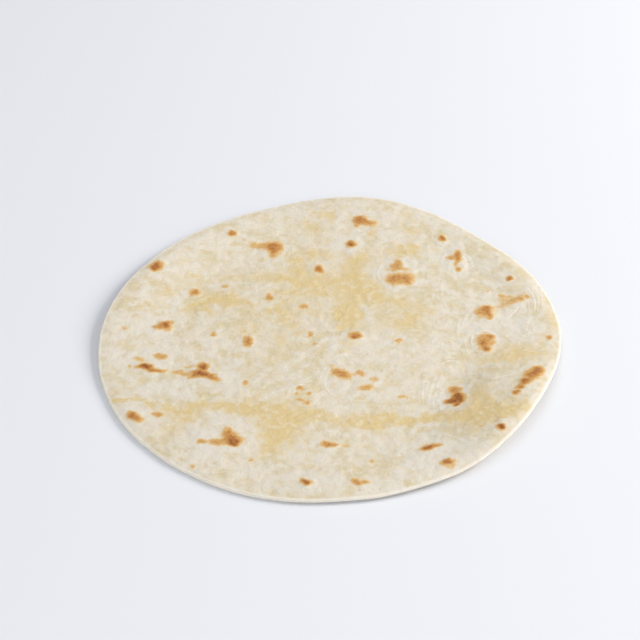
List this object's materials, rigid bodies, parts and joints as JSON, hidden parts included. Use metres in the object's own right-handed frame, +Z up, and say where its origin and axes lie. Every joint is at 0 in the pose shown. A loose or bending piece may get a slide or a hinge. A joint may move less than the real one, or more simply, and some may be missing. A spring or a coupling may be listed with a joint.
{
  "type": "flour tortilla",
  "caption": "Thin round griddled wheat flatbread, eight inches across, lying flat with a limp, gently lifted rim and low toasted blisters.",
  "frame": {"origin": "middle of the round sheet, on the surface that it lies on", "axes": "+Z up out of the sheet's toasted upper face, +Y away from the picture's camera, +X to the camera's right"},
  "size_m": [0.2089, 0.203, 0.0087],
  "materials": {
    "dough": "soft, dry griddled wheat dough, pale cream with small toasted brown marks"
  },
  "bodies": {
    "root": {"tortilla": "dough"}
  },
  "joints": []
}
